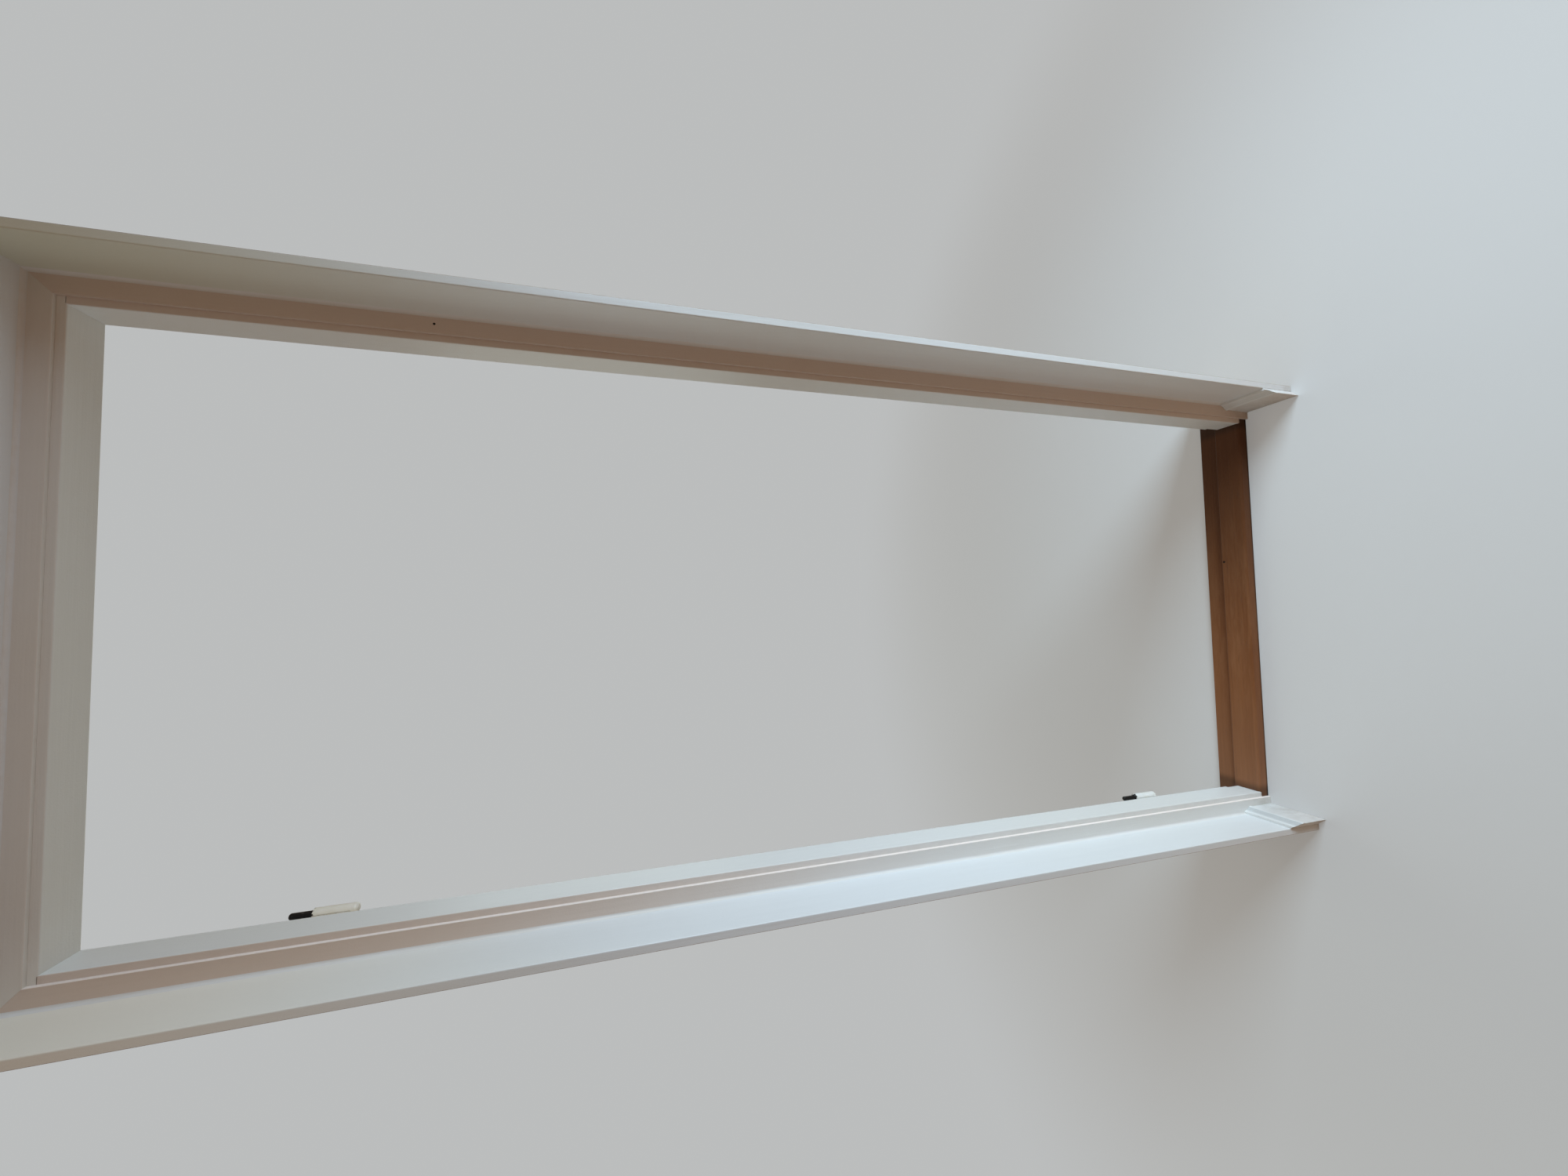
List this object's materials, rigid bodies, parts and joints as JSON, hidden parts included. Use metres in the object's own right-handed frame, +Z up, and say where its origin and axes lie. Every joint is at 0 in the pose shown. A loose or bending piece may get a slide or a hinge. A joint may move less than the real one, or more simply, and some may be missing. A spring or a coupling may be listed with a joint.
{
  "type": "interior door frame",
  "caption": "Rebated interior door frame for a deep wall, with threshold, reveal boards, cover strips, architraves and bare lift-off hinge pins.",
  "frame": {"origin": "on the floor, under the middle of the part's outer size", "axes": "+Z up from the floor; +X across the passage, from the hinge jamb to the strike jamb; +Y through the wall, from the reveal to the side of the leaf"},
  "size_m": [0.979, 0.2084, 2.0965],
  "materials": {
    "frame_paint": "white semi-gloss paint on pine",
    "strip_paint": "white satin paint on pine",
    "board_paint": "white smooth paint on board",
    "skirting_paint": "white semi-gloss paint on pine",
    "architrave_paint": "white satin paint on pine",
    "threshold_wood": "brown varnished hardwood, worn",
    "hinge_paint": "painted over with the frame",
    "greasy_steel": "dark, greasy and worn",
    "plate_steel": "dull plated",
    "zinc_steel": "yellow passivated",
    "nail_steel": "bright drawn"
  },
  "bodies": {
    "root": {"hinge_jamb": "frame_paint", "strike_jamb": "frame_paint", "frame_head": "frame_paint", "threshold": "threshold_wood", "cover_strip_hinge_side": "strip_paint", "cover_strip_strike_side": "strip_paint", "cover_strip_head": "strip_paint", "reveal_board_hinge_side": "board_paint", "reveal_board_strike_side": "board_paint", "reveal_board_head": "board_paint", "skirting_return_hinge_side": "skirting_paint", "skirting_return_strike_side": "skirting_paint", "architrave_hinge_side": "architrave_paint", "architrave_strike_side": "architrave_paint", "architrave_head": "architrave_paint", "upper_hinge_leaf": "hinge_paint", "lower_hinge_leaf": "hinge_paint", "upper_hinge_pin": "greasy_steel", "lower_hinge_pin": "greasy_steel", "hinge_screws": "hinge_paint", "strike_plate": "plate_steel", "strike_plate_screws": "plate_steel", "head_joint_screws": "zinc_steel", "threshold_screws": "zinc_steel", "cover_strip_nails": "nail_steel", "architrave_nails": "nail_steel", "reveal_corner_nails": "nail_steel", "skirting_nails": "nail_steel"}
  },
  "joints": []
}
